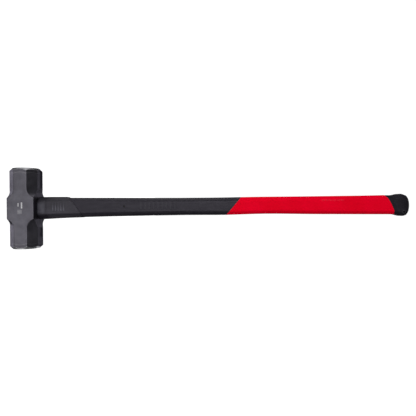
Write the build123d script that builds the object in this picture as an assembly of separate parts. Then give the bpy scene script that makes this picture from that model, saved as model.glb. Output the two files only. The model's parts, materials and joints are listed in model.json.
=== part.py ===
from build123d import *
import os
from math import sqrt

# Double-faced sledge hammer with a moulded fibreglass handle, standing on its head.
# Millimetres. The handle runs up +Z. The head lies along X, a striking face at each end.
# The broad sides of the handle face -Y and +Y. The floor is the plane Z = 0.

# ---- Head ----
HEAD_LENGTH = 183.2        # from crown to crown
HEAD_WIDTH = 62.2          # across the flats, in Y and in Z
CHAMFER_LEG = 17.0         # leg of the chamfers that make each end eight-sided
CHEEK_HALF = 22.5          # half the length of the square cheek
RUNOUT_LENGTH = 20.5       # length over which each chamfer sweeps out into the cheek
SEAT_DEPTH = 2.0           # how far the two eye sides are cut back at the cheek
SEAT_RAMP = 8.0            # length of the ramp at each end of that cut
BEVEL_RADIUS = 28.2        # radius where each striking face's bevel starts
CROWN_HEIGHT = 0.9         # how far each crowned face stands above its bevel
FORGED_EDGE = 1.2          # rounding of the forged edges

# ---- Eye, with its long axis along X ----
RESIN_MOUTH = (5.0, 4.0)   # resin round the core at both openings, in X and Y
RESIN_WAIST = (3.0, 2.5)   # resin round the core halfway through
EYE_RECESS = 1.5           # resin and core stop this far inside the head
DAM_HEIGHT = 5.0           # soft ring that closes the eye on the handle's side

# ---- Handle ----
CORE_SIZE = (27.0, 19.0)   # section of the pultruded core along X and Y
GUARD_LENGTH = 90.3        # guard, on the axis
SHAFT_LENGTH = 354.1       # bare jacket, on the axis
GRIP_LENGTH = 363.9        # grip, on the axis
KNOB_LENGTH = 42.0         # knob, on the axis
SLEEVE_WALL = 2.5          # how deep the guard, grip and knob are let into the jacket
CORE_COVER = 6.0           # jacket beyond the end of the core
KNOB_FLOOR = 25.0          # knob beyond the end of the jacket
GUARD_END = (31.0, 14.0)   # how far the guard's curved end falls at X = -EDGE and rises at +EDGE
GRIP_SLOPE = 0.86          # slant of the grip's start, Z for each unit of X, the other way
GRIP_END = (20.5, 9.8)     # how far the grip's curved end falls at X = -EDGE and rises at +EDGE
KNOB_DOME = 52.0           # radius of the knob's domed end
KNOB_DOME_SIDE = 1.0       # place of the dome's centre along X
CORNER_LEG = 7.5           # slanted corner of the handle's eight-sided section
GUARD_CORNER_LEG = 10.0    # the same at the guard's neck
CORNER_ROUND = 0.93        # rounding of those corners, for each millimetre of leg

# ---- Small features ----
PIN_RADIUS = 2.0           # hole left by the pins that held the core in the mould
PIN_HEIGHT = 105.8         # its height above the guard's end
PIN_SIDE = -2.0            # its place along X
LANYARD_RADIUS = 2.1       # lanyard hole through the knob
LANYARD_SIDE = 16.5        # its place along X
LANYARD_DROP = 15.0        # its place below the knob's end
RIM_WIDTH = 1.8            # raised rim round the lanyard hole
RIM_RISE = 0.6             # how far that rim stands proud
NECK = (1.5, 3.0)          # how far the guard's neck is drawn in, and over what length
COLLAR_LENGTH = 21.0       # plain collar of the guard, up to a shallow groove
GROOVE = (1.5, 0.6)        # width and depth of that groove

# ---- Raised bars on the broad sides ----
# The first bar's height above the piece's start, then all that the rows share.
BAR_RISE = 0.5             # how far the bars stand proud
BAR_ROOT = 0.5             # how deep they reach into the piece that carries them
GUARD_BARS = {"start": 37.0, "count": 5, "pitch": 6.0, "width": 18.0, "height": 2.5, "side": -3.0}
SHAFT_BARS = {"start": 144.0, "count": 9, "pitch": 9.6, "width": 17.0, "height": 4.0, "side": -3.5}
GRIP_BARS = {"start": 205.5, "count": 6, "pitch": 9.0, "width": 2.5, "height": 6.0, "side": -12.0}

# ---- Clearances ----
SEAM = 0.1                 # between moulded pieces
BOND = 0.1                 # round the core and the resin
HEAD_GAP = 0.3             # between the head and the guard

# ---- Heights that follow ----
Z_HEAD = HEAD_WIDTH - SEAT_DEPTH
Z_SHAFT = Z_HEAD + GUARD_LENGTH
Z_GRIP = Z_SHAFT + SHAFT_LENGTH
Z_KNOB = Z_GRIP + GRIP_LENGTH
Z_END = Z_KNOB + KNOB_LENGTH
Z_JACKET_END = Z_END - KNOB_FLOOR
Z_CORE_END = Z_JACKET_END - CORE_COVER
EDGE = 30.0                # just outside the handle, for the ends of cutting profiles
FAR = 200.0                # well outside the handle
NEAR = 0.5                 # an edge this close to a face counts as lying on it

# Each row gives the cover over the core towards -X, towards +X and on the broad sides.
# The handle's rows are evenly spaced from the head to the highest point of the grip's end.
HANDLE_ROWS = [
    (10.0, 9.8, 5.7), (9.8, 8.8, 5.5), (9.3, 7.5, 5.2), (8.6, 6.7, 4.9), (8.0, 6.2, 4.7),
    (7.4, 5.7, 4.6), (7.1, 5.6, 4.5), (7.2, 6.1, 4.6), (7.7, 5.2, 4.9), (8.0, 4.4, 5.1),
    (7.9, 5.4, 5.3), (8.1, 6.6, 5.6), (8.3, 7.3, 5.9), (8.6, 8.1, 6.1), (8.8, 8.8, 6.3),
]
# The guard's rows are evenly spaced from its neck to the highest point of its slanted end.
GUARD_ROWS = [
    (12.3, 11.5, 6.7), (12.2, 10.8, 7.4), (12.0, 9.6, 7.3), (11.6, 8.8, 6.9), (11.1, 8.2, 6.4),
]
# The knob's rows are evenly spaced from below its seam to its end.
KNOB_ROWS = [
    (8.8, 8.8, 6.2), (8.8, 9.0, 6.3), (8.7, 8.8, 6.3), (10.1, 9.5, 6.8),
    (11.8, 12.1, 7.7), (9.6, 12.0, 7.6), (8.6, 10.2, 7.0),
]
KNOB_OVERLAP = 18.0        # how far below its seam the knob's first row lies


def section(height, cover, inset, leg=CORNER_LEG):
    """One eight-sided section of the handle, moved in by the inset all round."""
    left = CORE_SIZE[0] / 2 + cover[0] - inset
    right = CORE_SIZE[0] / 2 + cover[1] - inset
    half = CORE_SIZE[1] / 2 + cover[2] - inset
    leg = leg - inset * (2 - sqrt(2))
    corners = [
        (right, half - leg), (right - leg, half), (leg - left, half), (-left, half - leg),
        (-left, leg - half), (leg - left, -half), (right - leg, -half), (right, leg - half),
    ]
    outline = Polygon(*corners, align=None)
    outline = fillet(outline.vertices(), CORNER_ROUND * leg)
    return Pos(0, 0, height) * outline


def skin(rows, bottom, top, inset=0.0, first_leg=CORNER_LEG):
    """A smooth skin through evenly spaced rows. Its corners go from the first leg to CORNER_LEG."""
    last = len(rows) - 1
    sections = []
    for i, row in enumerate(rows):
        height = bottom + (top - bottom) * i / last
        leg = first_leg + (CORNER_LEG - first_leg) * i / last
        sections.append(section(height, row, inset, leg))
    return loft(sections)


def handle_skin(inset=0.0):
    return skin(HANDLE_ROWS, Z_HEAD, Z_KNOB + GRIP_END[1], inset)


def guard_skin(inset=0.0):
    start = Z_HEAD + HEAD_GAP
    full = start + NECK[1]
    drawn_in = section(start, GUARD_ROWS[0], inset + NECK[0], GUARD_CORNER_LEG)
    neck = loft([drawn_in, section(full, GUARD_ROWS[0], inset, GUARD_CORNER_LEG)])
    return neck + skin(GUARD_ROWS, full, Z_SHAFT + GUARD_END[1], inset, GUARD_CORNER_LEG)


def knob_skin(inset=0.0):
    return skin(KNOB_ROWS, Z_KNOB - KNOB_OVERLAP, Z_END, inset)


def under(curve):
    """Everything under a curve that runs from X = -EDGE to X = EDGE."""
    frame = Polyline(curve @ 1, (EDGE, -FAR), (-EDGE, -FAR), curve @ 0)
    return extrude(Plane.XZ * make_face(curve + frame), amount=FAR, both=True)


def under_arc(level, falls, rises):
    return under(ThreePointArc((-EDGE, level - falls), (0, level), (EDGE, level + rises)))


def under_guard_end(shift=0.0):
    return under_arc(Z_SHAFT + shift, *GUARD_END)


def under_grip_start(shift=0.0):
    level = Z_GRIP + shift
    return under(Line((-EDGE, level + EDGE * GRIP_SLOPE), (EDGE, level - EDGE * GRIP_SLOPE)))


def under_grip_end(shift=0.0):
    return under_arc(Z_KNOB + shift, *GRIP_END)


def jacket_body(inset):
    """The part of the jacket that lies inside the guard, the grip and the knob."""
    row = HANDLE_ROWS[-1]
    top = skin([row, row], Z_KNOB + GRIP_END[1], Z_JACKET_END + SLEEVE_WALL - inset, inset)
    return handle_skin(inset) + top


def core_outline(grow_x, grow_y):
    return SlotOverall(CORE_SIZE[0] + 2 * grow_x, CORE_SIZE[1] + 2 * grow_y)


def eye_opening(inset=0.0):
    mouth = core_outline(RESIN_MOUTH[0] - inset, RESIN_MOUTH[1] - inset)
    waist = core_outline(RESIN_WAIST[0] - inset, RESIN_WAIST[1] - inset)
    waist = Pos(0, 0, HEAD_WIDTH / 2) * waist
    bottom = Pos(0, 0, SEAT_DEPTH) * mouth
    top = Pos(0, 0, Z_HEAD) * mouth
    return loft([bottom, waist]) + loft([waist, top])


def core_bar(bottom, top, clearance=0.0):
    bar = extrude(core_outline(clearance, clearance), amount=top - bottom)
    return Pos(0, 0, bottom) * bar


def slab(bottom, top):
    size = 2 * FAR
    return Pos(0, 0, (bottom + top) / 2) * Box(size, size, top - bottom)


def chamfer_tool():
    """Removes one long edge of the +X half, lying along +X with its flat facing down."""
    depth = CHAMFER_LEG / sqrt(2)
    start = CHEEK_HALF + RUNOUT_LENGTH
    radius = (RUNOUT_LENGTH ** 2 + depth ** 2) / (2 * depth)
    sweep = Pos(start, radius) * Circle(radius)
    straight = Pos(start + FAR / 2, radius) * Rectangle(FAR, 2 * radius)
    tool = extrude(Plane.XZ * (sweep + straight), amount=HEAD_WIDTH, both=True)
    edge_distance = HEAD_WIDTH / sqrt(2)
    return Pos(0, 0, edge_distance - depth) * tool


def turned_end():
    """The head's crowned and bevelled outline, turned about its own axis."""
    half = HEAD_LENGTH / 2
    rim = half - CROWN_HEIGHT
    crown = ThreePointArc(
        (0, half),
        (BEVEL_RADIUS / 2, half - CROWN_HEIGHT / 4),
        (BEVEL_RADIUS, rim),
    )
    reach = HEAD_WIDTH - BEVEL_RADIUS
    rest = Polyline(
        (BEVEL_RADIUS, rim),
        (BEVEL_RADIUS + reach, rim - reach),
        (BEVEL_RADIUS + reach, 0),
        (0, 0),
        (0, half),
    )
    end = revolve(Plane.XZ * make_face(crown + rest), Axis.Z)
    return Pos(0, 0, HEAD_WIDTH / 2) * (Rot(0, 90, 0) * end)


def seat_tool():
    """Cuts back one eye side of the cheek, lying on the plane Z = 0 with its flat down."""
    flat = CHEEK_HALF + RUNOUT_LENGTH - SEAT_RAMP
    outline = Polyline(
        (-flat - 2 * SEAT_RAMP, SEAT_DEPTH),
        (-flat, -SEAT_DEPTH),
        (flat, -SEAT_DEPTH),
        (flat + 2 * SEAT_RAMP, SEAT_DEPTH),
        (-flat - 2 * SEAT_RAMP, SEAT_DEPTH),
    )
    return extrude(Plane.XZ * make_face(outline), amount=HEAD_WIDTH, both=True)


def forged_edges(body):
    """The edges that lie clear of both eye sides and of the striking ends."""
    clear = []
    for edge in body.edges():
        box = edge.bounding_box()
        off_eye_sides = box.min.Z > SEAT_DEPTH + NEAR and box.max.Z < Z_HEAD - NEAR
        off_ends = abs(edge.center().X) < HEAD_LENGTH / 2 - NEAR
        if off_eye_sides and off_ends:
            clear.append(edge)
    return clear


def make_head():
    body = Pos(0, 0, HEAD_WIDTH / 2) * Box(HEAD_LENGTH, HEAD_WIDTH, HEAD_WIDTH)
    body = body - Pos(0, 0, HEAD_WIDTH) * seat_tool()
    body = body - Rot(180, 0, 0) * seat_tool()
    for turn in (0, 180):
        for roll in (45, 135, 225, 315):
            tool = Rot(0, 0, turn) * (Rot(roll, 0, 0) * chamfer_tool())
            body = body - Pos(0, 0, HEAD_WIDTH / 2) * tool
    body = fillet(forged_edges(body), FORGED_EDGE)
    right = turned_end()
    left = Rot(0, 0, 180) * right
    return (body & (right + left)) - eye_opening()


def make_core():
    return core_bar(SEAT_DEPTH + EYE_RECESS, Z_CORE_END)


def make_resin():
    plug = eye_opening(BOND) & slab(SEAT_DEPTH + EYE_RECESS, Z_HEAD - DAM_HEIGHT - SEAM)
    return plug - core_bar(0, Z_CORE_END, BOND)


def make_dam():
    ring = eye_opening(BOND) & slab(Z_HEAD - DAM_HEIGHT, Z_HEAD)
    return ring - core_bar(0, Z_CORE_END, BOND)


def bars(base, outer, inner, start, count, pitch, width, height, side):
    """A row of raised bars up the handle, between two skins, on its broad sides."""
    row = [Pos(side, 0, base + start + i * pitch) * Box(width, FAR, height) for i in range(count)]
    return (Part() + row) & (outer - inner)


def make_jacket():
    bare = handle_skin() & under_grip_start(-SEAM)
    bare = bare - under_guard_end(SEAM)
    pattern = bars(Z_SHAFT, handle_skin(-BAR_RISE), handle_skin(BAR_ROOT), **SHAFT_BARS)
    body = jacket_body(SLEEVE_WALL + SEAM) & slab(Z_HEAD + HEAD_GAP, Z_JACKET_END)
    body = body + bare + pattern
    place = Pos(PIN_SIDE, 0, Z_SHAFT + PIN_HEIGHT) * Rot(90, 0, 0)
    return body - core_bar(0, Z_CORE_END + BOND, BOND) - place * Cylinder(PIN_RADIUS, FAR)


def make_guard():
    groove = Z_HEAD + COLLAR_LENGTH
    body = guard_skin() - (slab(groove, groove + GROOVE[0]) - guard_skin(GROOVE[1]))
    body = body + bars(Z_HEAD, guard_skin(-BAR_RISE), guard_skin(BAR_ROOT), **GUARD_BARS)
    return (body & under_guard_end()) - jacket_body(SLEEVE_WALL)


def make_grip():
    body = handle_skin() + bars(Z_GRIP, handle_skin(-BAR_RISE), handle_skin(BAR_ROOT), **GRIP_BARS)
    return (body & under_grip_end()) - under_grip_start() - jacket_body(SLEEVE_WALL)


def make_knob():
    dome = Pos(KNOB_DOME_SIDE, 0, Z_END - KNOB_DOME) * Sphere(KNOB_DOME)
    place = Pos(LANYARD_SIDE, 0, Z_END - LANYARD_DROP) * Rot(90, 0, 0)
    rim = place * Cylinder(LANYARD_RADIUS + RIM_WIDTH, FAR)
    body = (knob_skin() & dome) + (rim & knob_skin(-RIM_RISE))
    body = body - under_grip_end(SEAM) - jacket_body(SLEEVE_WALL)
    return body - place * Cylinder(LANYARD_RADIUS, FAR)


PIECES = {
    "head": (make_head, Color(0.13, 0.13, 0.14)),
    "fibreglass_core": (make_core, Color(0.1, 0.085, 0.06)),
    "eye_resin": (make_resin, Color(0.42, 0.27, 0.1)),
    "eye_dam": (make_dam, Color(0.05, 0.05, 0.05)),
    "handle_jacket": (make_jacket, Color(0.036, 0.033, 0.039)),
    "overstrike_guard": (make_guard, Color(0.026, 0.024, 0.028)),
    "grip_sleeve": (make_grip, Color(0.72, 0.004, 0.014)),
    "butt_knob": (make_knob, Color(0.02, 0.018, 0.022)),
}

os.makedirs("parts", exist_ok=True)
for name, (make, color) in PIECES.items():
    piece = make()
    piece.label = name
    piece.color = color
    export_step(piece, f"parts/{name}.step")
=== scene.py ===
import bpy
import json
from mathutils import Matrix, Vector


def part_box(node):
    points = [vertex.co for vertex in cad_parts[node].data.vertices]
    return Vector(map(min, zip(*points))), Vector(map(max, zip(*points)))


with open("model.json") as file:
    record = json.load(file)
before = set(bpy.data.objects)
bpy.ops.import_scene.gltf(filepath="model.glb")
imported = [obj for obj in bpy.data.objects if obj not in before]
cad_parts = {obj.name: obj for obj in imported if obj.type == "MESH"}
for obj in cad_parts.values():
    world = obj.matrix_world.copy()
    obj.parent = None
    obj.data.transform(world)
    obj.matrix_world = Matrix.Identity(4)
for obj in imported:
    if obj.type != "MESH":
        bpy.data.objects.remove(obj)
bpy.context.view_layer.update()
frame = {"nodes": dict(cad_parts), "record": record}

# Lengths and places are in metres. The hammer stands on its head: X runs along the head, Y from the
# front to the back, and Z up the handle. The camera is in front, and lies on its side.

# ---------------------------------------------------------------- camera
CAMERA_PLACE = (0.0025, -0.853, 0.4293)
CAMERA_FORWARD = (0.0009, 0.9998, 0.0203)
CAMERA_RIGHT = (0.0101, -0.0203, 0.9997)
SENSOR_MM = 36.0
LENS_MM = 31.91538
VIEW_DISTANCE = 50.0


def make_camera():
    data = bpy.data.cameras.new("camera")
    data.sensor_width = SENSOR_MM
    data.lens = LENS_MM
    data.clip_end = VIEW_DISTANCE
    camera = bpy.data.objects.new("camera", data)
    bpy.context.scene.collection.objects.link(camera)
    bpy.context.scene.camera = camera
    forward = Vector(CAMERA_FORWARD).normalized()
    right = Vector(CAMERA_RIGHT)
    right = (right - forward * right.dot(forward)).normalized()
    up = right.cross(forward)
    turn = Matrix((right, up, -forward)).transposed().to_4x4()
    camera.matrix_world = Matrix.Translation(CAMERA_PLACE) @ turn


make_camera()


# ---------------------------------------------------------------- colours and marks
def rgb(red, green, blue):
    return (red, green, blue, 1.0)


BLACK = rgb(0.0, 0.0, 0.0)
WHITE = rgb(1.0, 1.0, 1.0)
COAT_DARK = rgb(0.098, 0.094, 0.110)
COAT_LIGHT = rgb(0.132, 0.127, 0.147)
COAT_TINT = rgb(0.45, 0.44, 0.48)
SCALE_BLACK = rgb(0.012, 0.011, 0.014)
STEEL_DARK = rgb(0.40, 0.40, 0.41)
STEEL_LIGHT = rgb(0.64, 0.64, 0.65)
STEEL_PAINTED_SHADE = rgb(0.05, 0.05, 0.06)
PRINT = rgb(0.55, 0.55, 0.56)
COOL_GLOSS = rgb(0.92, 0.88, 1.0)
JACKET = (rgb(0.0100, 0.0086, 0.0130), rgb(0.0140, 0.0122, 0.0175))
JACKET_WORN_AND_HIGHLIGHT = rgb(0.06, 0.058, 0.066)
GUARD = (rgb(0.0105, 0.0095, 0.0135), rgb(0.0155, 0.0140, 0.0190))
GUARD_SHADE = rgb(0.002, 0.0018, 0.003)
GUARD_WORN_AND_HIGHLIGHT = rgb(0.078, 0.078, 0.094)
GRIP = (rgb(0.86, 0.0, 0.016), rgb(0.93, 0.0, 0.021))
GRIP_EDGE_HIGHLIGHT = rgb(1.0, 0.10, 0.16)
KNOB = (rgb(0.0065, 0.0056, 0.0080), rgb(0.0105, 0.0092, 0.0130))
KNOB_PALE = rgb(0.06, 0.058, 0.064)
FIBREGLASS = rgb(0.03, 0.026, 0.02)
RESIN = rgb(0.42, 0.27, 0.1)
DAM = rgb(0.05, 0.05, 0.05)

# The head's ground ends: the radius where each bevel starts, and how far the crowned face stands above it
BEVEL_RADIUS = 0.0282
CROWN_HEIGHT = 0.0009
# A thin line round the head, and darker scale with turning marks between it and the bevel
LINE_DISTANCE = 0.0070
LINE_HALF_WIDTH = 0.0002
# The turning marks' wave, in radians per metre
TURNING_MARKS = 7000.0
# How softly the ground steel ends
GROUND_EDGE = 0.0003
# Printed bars on the front cheek: middle in X and Z, half size in X and Z, strength
PRINTED_BARS = [
    (-0.0080, 0.0270, 0.0035, 0.0011, 0.75),
    (-0.0065, 0.0345, 0.0065, 0.0013, 0.90),
    (0.0040, 0.0300, 0.0005, 0.0045, 0.30),
    (0.0065, 0.0300, 0.0005, 0.0045, 0.34),
    (0.0090, 0.0300, 0.0005, 0.0045, 0.30),
    (0.0115, 0.0300, 0.0005, 0.0045, 0.22),
]
# Worn patches beside the handle: middle and half length in X, and the width of their soft edges
WORN_PATCHES = [(-0.066, 0.018), (0.055, 0.008)]
WORN_EDGE = 0.006
# Rows of raised bars: the first bar's middle in Z, how they repeat, each bar's size and its middle in X
GUARD_BARS = {"first": 0.0972, "count": 5, "pitch": 0.006, "width": 0.018, "height": 0.0025, "side": -0.003}
JACKET_BARS = {"first": 0.2945, "count": 9, "pitch": 0.0096, "width": 0.017, "height": 0.004, "side": -0.0035}
# The painted highlight on the guard's collar, in patches, each pair from where there is none to where it is
# full: in Z, and in distance from the handle's middle
COLLAR_HIGHLIGHT_HEIGHT = (0.082, 0.074)
COLLAR_HIGHLIGHT_WIDTH = (0.017, 0.006)
# The painted highlight on the guard's +X side, in pairs of the same kind: its two ends in X, and its top in Z
SIDE_HIGHLIGHT_START = (-0.004, 0.006)
SIDE_HIGHLIGHT_END = (0.016, 0.012)
SIDE_HIGHLIGHT_TOP = (0.138, 0.112)
# The paler ring on the lanyard hole's raised rim: its middle radius, and half its width
RIM_RADIUS = 0.0033
RIM_HALF_WIDTH = 0.0006
# How softly a mark ends
MARK_EDGE = 0.0004
# How near a flat face a point has to be to count as on it, and how softly that ends
ON_FACE = (0.0001, 0.0002)


# ---------------------------------------------------------------- shader helpers
class Shader:
    """A material's node tree, with one Principled shader, built by short calls."""

    def __init__(self, name):
        self.material = bpy.data.materials.new(name)
        self.material.use_nodes = True
        self.tree = self.material.node_tree
        self.tree.nodes.clear()
        output = self.add("ShaderNodeOutputMaterial")
        self.main = self.add("ShaderNodeBsdfPrincipled")
        self.link(self.main.outputs[0], output.inputs[0])
        self.place = self.add("ShaderNodeTexCoord").outputs["Object"]

    def add(self, kind, **settings):
        node = self.tree.nodes.new(kind)
        for key, value in settings.items():
            setattr(node, key, value)
        return node

    def link(self, start, end):
        self.tree.links.new(start, end)

    def feed(self, socket, value):
        """Links an output to the socket, or sets the socket to a number or a colour."""
        if isinstance(value, bpy.types.NodeSocket):
            self.link(value, socket)
        else:
            socket.default_value = value

    def set(self, **values):
        """Sets the Principled shader's inputs: an underscore stands for a space."""
        for key, value in values.items():
            self.feed(self.main.inputs[key.replace("_", " ")], value)

    def axes(self, names):
        """Where the shaded point is along each of the named axes."""
        node = self.add("ShaderNodeSeparateXYZ")
        self.link(self.place, node.inputs[0])
        return [node.outputs[name] for name in names]

    def math(self, operation, a, b=0.0):
        node = self.add("ShaderNodeMath", operation=operation)
        self.feed(node.inputs[0], a)
        self.feed(node.inputs[1], b)
        return node.outputs[0]

    def product(self, *factors):
        total = factors[0]
        for factor in factors[1:]:
            total = self.math("MULTIPLY", total, factor)
        return total

    def largest(self, *values):
        total = values[0]
        for value in values[1:]:
            total = self.math("MAXIMUM", total, value)
        return total

    def distance(self, a, b):
        """How far the point is from an axis, from its two distances along the other axes."""
        return self.math("SQRT", self.math("ADD", self.product(a, a), self.product(b, b)))

    def span(self, value, start, end, to=(0.0, 1.0)):
        """Goes smoothly through the two numbers of to, as the value goes from start to end."""
        node = self.add("ShaderNodeMapRange", interpolation_type="SMOOTHSTEP")
        for socket, number in zip(node.inputs, (value, start, end, *to)):
            self.feed(socket, number)
        return node.outputs[0]

    def band(self, value, middle, half, soft):
        """1 within half a width of the middle, falling to 0 over the soft distance."""
        away = self.math("ABSOLUTE", self.math("SUBTRACT", value, middle))
        return self.span(away, half, half + soft, to=(1.0, 0.0))

    def blend(self, amount, low, high):
        """A colour between two, low at amount 0 and high at amount 1."""
        node = self.add("ShaderNodeMix", data_type="RGBA")
        self.feed(node.inputs[0], amount)
        self.feed(node.inputs[6], low)
        self.feed(node.inputs[7], high)
        return node.outputs[2]

    def noise(self, scale, detail=3.0, rough=0.5, stretch=(1, 1, 1)):
        stretched = self.add("ShaderNodeVectorMath", operation="MULTIPLY")
        self.link(self.place, stretched.inputs[0])
        stretched.inputs[1].default_value = stretch
        node = self.add("ShaderNodeTexNoise")
        self.link(stretched.outputs[0], node.inputs["Vector"])
        node.inputs["Scale"].default_value = scale
        node.inputs["Detail"].default_value = detail
        node.inputs["Roughness"].default_value = rough
        return node.outputs["Fac"]

    def cells(self, scale):
        node = self.add("ShaderNodeTexVoronoi")
        self.link(self.place, node.inputs["Vector"])
        node.inputs["Scale"].default_value = scale
        return node.outputs["Distance"]

    def patches(self, scale, detail=3.0, rough=0.5, to=(0.0, 1.0)):
        """Soft patches, from noise stretched over the two numbers of to."""
        return self.span(self.noise(scale, detail, rough), 0.3, 0.7, to=to)

    def rounded(self, radius):
        """The surface normal as if every edge were rounded to the radius."""
        node = self.add("ShaderNodeBevel", samples=6)
        node.inputs["Radius"].default_value = radius
        return node.outputs[0]

    def edges(self, radius):
        """0 on flat stretches, rising towards 1 along edges."""
        node = self.add("ShaderNodeVectorMath", operation="DOT_PRODUCT")
        self.link(self.rounded(radius), node.inputs[0])
        self.link(self.add("ShaderNodeNewGeometry").outputs["Normal"], node.inputs[1])
        return self.span(node.outputs["Value"], 0.99, 0.85)

    def wear(self, radius, scale, broken, amount):
        """Wear along edges, broken up by noise between the two numbers of broken."""
        patches = self.span(self.noise(scale, detail=4.0), *broken)
        return self.product(self.edges(radius), patches, amount)

    def bump(self, height, depth, strength, over=None):
        """A normal with the height's relief, on top of the normal given as over, if one is given."""
        node = self.add("ShaderNodeBump")
        node.inputs["Strength"].default_value = strength
        node.inputs["Distance"].default_value = depth
        self.link(height, node.inputs["Height"])
        if over is not None:
            self.link(over, node.inputs["Normal"])
        return node.outputs[0]


# ---------------------------------------------------------------- from the frame
def mount_place(name):
    for mount in frame["record"]["mounts"]:
        if mount["name"] == name:
            return mount["pos_m"]


def dress(node, made):
    """Gives a CAD node its material."""
    data = frame["nodes"][node].data
    data.materials.clear()
    data.materials.append(made)


# ---------------------------------------------------------------- head
def head_steel():
    """Dark forging scale, with bare ground steel on the bevels and the crowned faces."""
    s = Shader("head_steel")
    low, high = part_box("head")
    half_length, mid_height = high[0], (low[2] + high[2]) / 2
    x, y, z = s.axes("XYZ")
    along = s.math("ABSOLUTE", x)
    from_axis = s.distance(y, s.math("SUBTRACT", z, mid_height))

    # A bevel is a cone at 45 degrees, where X and the distance from the head's axis add up to one number
    cone = s.math("ADD", along, from_axis)
    crown_start = half_length - CROWN_HEIGHT
    bevel_cone = crown_start + BEVEL_RADIUS
    line_cone = bevel_cone - LINE_DISTANCE
    bevel = s.span(cone, bevel_cone - 2 * GROUND_EDGE, bevel_cone - GROUND_EDGE)
    crown = s.span(along, crown_start - GROUND_EDGE, crown_start)
    ground = s.largest(bevel, crown)
    collar = s.span(cone, line_cone - LINE_HALF_WIDTH, line_cone + LINE_HALF_WIDTH)
    line = s.band(cone, line_cone, LINE_HALF_WIDTH, 0.0005)

    # Scale: mottled, with painted shade that darkens it towards -X, worn along edges
    grit = s.noise(90.0, detail=6.0, rough=0.65)
    mottle = s.patches(28.0, detail=4.0, rough=0.6)
    coat = s.blend(mottle, COAT_DARK, COAT_LIGHT)
    # Painted shade: the coat is blended darker towards -X and keeps its full tone towards +X.
    less_painted_shade = s.math("MULTIPLY", s.span(x, -0.09, 0.06), 0.9)
    coat = s.blend(less_painted_shade, s.blend(0.22, coat, BLACK), coat)
    coat = s.blend(s.math("MULTIPLY", collar, 0.12), coat, BLACK)
    wear = s.wear(radius=0.0012, scale=220.0, broken=(0.40, 0.62), amount=0.55)
    coat = s.blend(s.largest(wear, s.math("MULTIPLY", line, 0.25)), coat, STEEL_DARK)
    coat = s.blend(worn_patches(s, x, y, z, top=high[2]), coat, SCALE_BLACK)

    # Ground steel, with painted shade that makes it duller at the -X end
    steel = s.blend(s.noise(600.0, detail=2.0), STEEL_DARK, STEEL_LIGHT)
    # Painted shade: the ground steel is darkened towards the -X end.
    steel = s.blend(s.span(x, 0.02, -0.02, to=(0.0, 0.6)), steel, STEEL_PAINTED_SHADE)

    print_mask = printed_bars(s, x, y, z, front=low[1])
    s.set(Base_Color=s.blend(print_mask, s.blend(ground, coat, steel), PRINT))
    s.set(Metallic=s.math("SUBTRACT", 0.9, s.math("MULTIPLY", print_mask, 0.9)))
    s.set(Specular_Tint=COAT_TINT)
    dull = s.span(grit, 0.35, 0.7, to=(0.34, 0.48))
    s.set(Roughness=s.math("SUBTRACT", dull, s.math("MULTIPLY", ground, 0.14)))

    # Relief: forging marks, grit, fine grain, and turning marks on what was ground
    forged = s.bump(mottle, depth=0.0006, strength=0.25, over=s.rounded(0.0012))
    gritty = s.bump(grit, depth=0.0004, strength=0.35, over=forged)
    grain = s.noise(1400.0, detail=2.0)
    grained = s.bump(grain, depth=0.00008, strength=0.5, over=gritty)
    rings = s.math("SINE", s.math("MULTIPLY", cone, TURNING_MARKS))
    turned = s.largest(ground, s.math("MULTIPLY", collar, 0.5))
    s.set(Normal=s.bump(s.product(rings, turned), depth=0.00003, strength=0.4, over=grained))
    return s.material


def printed_bars(s, x, y, z, front):
    """Plain pale bars on the front cheek, a little worn."""
    on_front = s.band(y, front, *ON_FACE)
    masks = []
    for middle_x, middle_z, half_x, half_z, strength in PRINTED_BARS:
        along = s.band(x, middle_x, half_x, MARK_EDGE)
        across = s.band(z, middle_z, half_z, MARK_EDGE)
        masks.append(s.product(along, across, strength))
    worn = s.span(s.noise(500.0), 0.25, 0.5, to=(0.6, 1.0))
    return s.product(s.largest(*masks), on_front, worn)


def worn_patches(s, x, y, z, top):
    """Dark patches of scale on the two flats beside the handle, with a ragged edge in front."""
    on_flat = s.band(z, top, *ON_FACE)
    masks = []
    for middle, half in WORN_PATCHES:
        masks.append(s.band(x, middle, half, WORN_EDGE))
    ragged = s.math("ADD", y, s.math("MULTIPLY", s.noise(120.0), WORN_EDGE))
    behind = s.span(ragged, -0.001, WORN_EDGE)
    return s.product(s.largest(*masks), on_flat, behind, 0.85)


# ---------------------------------------------------------------- handle
def raised_tops(s, x, z, first, count, pitch, width, height, side):
    """1 on a row of raised bars; the bar tops are lightened as wear and as a painted highlight."""
    from_bar = s.math("PINGPONG", s.math("SUBTRACT", z, first), pitch / 2)
    each = s.span(from_bar, height / 2, height / 2 + MARK_EDGE, to=(1.0, 0.0))
    row = s.band(z, first + pitch * (count - 1) / 2, pitch * count / 2, 0.0001)
    return s.product(each, row, s.band(x, side, width / 2, MARK_EDGE))


def jacket_plastic():
    """Smooth black plastic, with faint lines along the handle."""
    s = Shader("jacket_plastic")
    x, z = s.axes("XZ")
    edge_wear = s.wear(radius=0.0006, scale=160.0, broken=(0.45, 0.65), amount=0.35)
    # Wear and painted highlight: the tops of the raised bars are lightened.
    bar_wear_and_highlight = s.product(raised_tops(s, x, z, **JACKET_BARS), 0.18)
    colour = s.blend(s.patches(35.0), *JACKET)
    s.set(Base_Color=s.blend(s.largest(edge_wear, bar_wear_and_highlight), colour, JACKET_WORN_AND_HIGHLIGHT))
    s.set(Specular_IOR_Level=0.27, Specular_Tint=COOL_GLOSS)
    lines = s.noise(260.0, detail=4.0, rough=0.6, stretch=(1, 1, 0.15))
    s.set(Roughness=s.span(lines, 0.3, 0.7, to=(0.34, 0.48)))
    grain = s.noise(2200.0, detail=2.0)
    s.set(Normal=s.bump(grain, depth=0.00012, strength=0.5, over=s.rounded(0.0006)))
    return s.material


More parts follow.
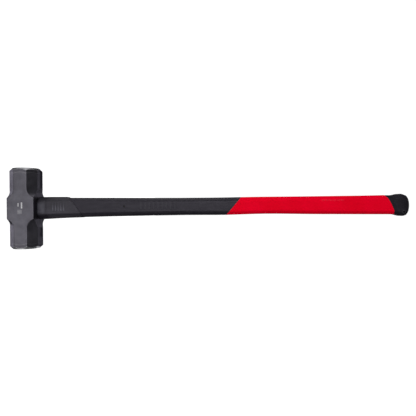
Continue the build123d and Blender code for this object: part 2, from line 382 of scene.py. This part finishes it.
def guard_rubber():
    """Black rubber, worn along its edges and on its bars, with painted highlights on its collar, its bars and
    along its +X side, and painted shade towards -X.
    """
    s = Shader("guard_rubber")
    x, z = s.axes("XZ")
    from_middle = s.math("ABSOLUTE", x)
    edge_wear = s.wear(radius=0.0006, scale=180.0, broken=(0.4, 0.6), amount=0.5)
    # Wear and painted highlight: the tops of the raised bars are lightened, less so towards -X.
    bar_wear_and_highlight = raised_tops(s, x, z, **GUARD_BARS)
    bar_wear_and_highlight = s.product(bar_wear_and_highlight, s.span(x, -0.010, 0.004, to=(0.2, 1.0)))
    on_collar = s.product(s.span(z, *COLLAR_HIGHLIGHT_HEIGHT), s.span(from_middle, *COLLAR_HIGHLIGHT_WIDTH))
    # Painted highlight: the collar is lightened in patches.
    collar_highlight = s.product(s.span(s.noise(90.0), 0.2, 0.6), on_collar, 0.6)
    # Painted highlight: a lighter band along the guard's +X side, below its top in Z.
    side = s.product(s.span(x, *SIDE_HIGHLIGHT_START), s.span(x, *SIDE_HIGHLIGHT_END))
    side_highlight = s.product(side, s.span(z, *SIDE_HIGHLIGHT_TOP), 0.14)
    shade = s.span(x, -0.018, 0.004, to=(0.45, 0.0))
    colour = s.blend(shade, s.blend(s.patches(60.0), *GUARD), GUARD_SHADE)
    # Edge wear, with the bar tops lightened as wear and painted highlight, and the painted highlights on the
    # collar and the +X side.
    worn = s.largest(edge_wear, bar_wear_and_highlight, collar_highlight, side_highlight)
    s.set(Base_Color=s.blend(worn, colour, GUARD_WORN_AND_HIGHLIGHT))
    s.set(Specular_IOR_Level=0.42, Specular_Tint=COOL_GLOSS)
    s.set(Roughness=s.patches(300.0, detail=4.0, to=(0.36, 0.5)))
    waves = s.noise(45.0, detail=2.0)
    moulded = s.bump(waves, depth=0.0010, strength=0.5, over=s.rounded(0.0008))
    s.set(Normal=s.bump(s.noise(1500.0), depth=0.0002, strength=0.5, over=moulded))
    return s.material


def grip_rubber():
    """Matt red rubber, with a painted highlight that makes it paler along its ends and edges."""
    s = Shader("grip_rubber")
    colour = s.blend(s.patches(22.0), *GRIP)
    # Painted highlight: the colour is lightened along every edge.
    pale = s.product(s.edges(0.0016), 0.5)
    s.set(Base_Color=s.blend(pale, colour, GRIP_EDGE_HIGHLIGHT))
    s.set(Specular_IOR_Level=0.02)
    s.set(Roughness=s.patches(240.0, detail=4.0, to=(0.5, 0.62)))
    grain = s.noise(1800.0, detail=2.0)
    s.set(Normal=s.bump(grain, depth=0.00015, strength=0.5, over=s.rounded(0.0012)))
    return s.material


def knob_rubber():
    """Pebbled black rubber, paler on a ring round the rim of the lanyard hole."""
    s = Shader("knob_rubber")
    x, z = s.axes("XZ")
    hole = mount_place("lanyard_hole")
    away = s.distance(s.math("SUBTRACT", x, hole[0]), s.math("SUBTRACT", z, hole[2]))
    rim_ring = s.product(s.band(away, RIM_RADIUS, RIM_HALF_WIDTH, MARK_EDGE), 0.5)
    edge_wear = s.wear(radius=0.0006, scale=200.0, broken=(0.4, 0.6), amount=0.4)
    colour = s.blend(s.patches(80.0), *KNOB)
    s.set(Base_Color=s.blend(s.largest(edge_wear, rim_ring), colour, KNOB_PALE))
    s.set(Specular_IOR_Level=0.27, Specular_Tint=COOL_GLOSS)
    pebbles = s.cells(900.0)
    s.set(Roughness=s.span(pebbles, 0.1, 0.7, to=(0.48, 0.66)))
    s.set(Normal=s.bump(pebbles, depth=0.0003, strength=0.5, over=s.rounded(0.0010)))
    return s.material


# ---------------------------------------------------------------- hidden pieces
def plain(name, colour, rough):
    """One colour with a light grain."""
    s = Shader(name)
    grain = s.noise(300.0)
    dark = rgb(*(0.8 * channel for channel in colour[:3]))
    s.set(Base_Color=s.blend(grain, dark, colour))
    s.set(Roughness=rough)
    s.set(Normal=s.bump(grain, depth=0.0001, strength=0.3))
    return s.material


dress("head", head_steel())
dress("handle_jacket", jacket_plastic())
dress("overstrike_guard", guard_rubber())
dress("grip_sleeve", grip_rubber())
dress("butt_knob", knob_rubber())
dress("fibreglass_core", plain("fibreglass", FIBREGLASS, rough=0.6))
dress("eye_resin", plain("resin", RESIN, rough=0.25))
dress("eye_dam", plain("dam_rubber", DAM, rough=0.7))

# ---------------------------------------------------------------- stage and light
FLOOR_HALF_SIZE = 30.0
FLOOR_GREY = rgb(0.85, 0.85, 0.85)
FLOOR_GLOW = 0.95
BACKDROP_STRENGTH = 1.05
FILL_COLOUR = rgb(0.92, 0.95, 1.0)
FILL_STRENGTH = 0.08
# Area lights: name, place, what it points at, width and height, watts
LIGHTS = [
    ("key", (-0.5, -1.9, 0.35), (0, 0, 0.4), (2.0, 1.9), 28),
    ("low_front", (-0.2, -1.3, -0.75), (0, 0, 0.1), (1.6, 0.8), 3.5),
    ("under", (-0.3, 0.5, -1.2), (0, 0, 0.1), (1.4, 0.8), 7.5),
    ("left_low", (-1.6, -0.3, -0.2), (0, 0, 0.4), (1.0, 1.6), 7),
    ("right_fill", (1.5, -1.2, 0.5), (0, 0, 0.4), (1.0, 1.6), 4),
    ("back", (-0.6, 2.4, 0.7), (0, 0, 0.4), (2.0, 1.6), 7.5),
    ("back_right", (1.3, 2.1, 0.3), (0, 0, 0.4), (1.6, 1.8), 9),
    ("right_low", (1.5, 0.0, -0.65), (0, 0, 0.05), (0.7, 0.8), 1.2),
    ("rim", (-2.0, 0.3, 0.6), (0, 0, 0.4), (1.0, 1.6), 5),
]


def make_floor():
    """A plain pale floor that only the camera sees, so that lights can stand below it."""
    far = FLOOR_HALF_SIZE
    data = bpy.data.meshes.new("floor")
    corners = [(-far, -far, 0), (far, -far, 0), (far, far, 0), (-far, far, 0)]
    data.from_pydata(corners, [], [(0, 1, 2, 3)])
    s = Shader("floor")
    s.set(Base_Color=FLOOR_GREY, Roughness=0.9)
    s.set(Emission_Color=WHITE, Emission_Strength=FLOOR_GLOW)
    data.materials.append(s.material)
    floor = bpy.data.objects.new("floor", data)
    bpy.context.scene.collection.objects.link(floor)
    floor.visible_diffuse = False
    floor.visible_glossy = False
    floor.visible_shadow = False


def make_light(name, place, target, size, watts):
    data = bpy.data.lights.new(name, "AREA")
    data.shape = "RECTANGLE"
    data.size, data.size_y = size
    data.energy = watts
    light = bpy.data.objects.new(name, data)
    bpy.context.scene.collection.objects.link(light)
    light.location = place
    light.rotation_mode = "QUATERNION"
    light.rotation_quaternion = (Vector(target) - Vector(place)).to_track_quat("-Z", "Y")
    light.visible_camera = False


def make_world():
    """White where the camera looks past the floor, and a dim cool fill for the lighting."""
    world = bpy.data.worlds.new("studio")
    bpy.context.scene.world = world
    world.use_nodes = True
    tree = world.node_tree
    tree.nodes.clear()
    output = tree.nodes.new("ShaderNodeOutputWorld")
    backdrop = tree.nodes.new("ShaderNodeBackground")
    backdrop.inputs["Color"].default_value = WHITE
    backdrop.inputs["Strength"].default_value = BACKDROP_STRENGTH
    fill = tree.nodes.new("ShaderNodeBackground")
    fill.inputs["Color"].default_value = FILL_COLOUR
    fill.inputs["Strength"].default_value = FILL_STRENGTH
    mix = tree.nodes.new("ShaderNodeMixShader")
    path = tree.nodes.new("ShaderNodeLightPath")
    tree.links.new(path.outputs["Is Camera Ray"], mix.inputs[0])
    tree.links.new(fill.outputs[0], mix.inputs[1])
    tree.links.new(backdrop.outputs[0], mix.inputs[2])
    tree.links.new(mix.outputs[0], output.inputs[0])


make_floor()
make_world()
for light_values in LIGHTS:
    make_light(*light_values)
bpy.context.scene.view_settings.view_transform = "Standard"
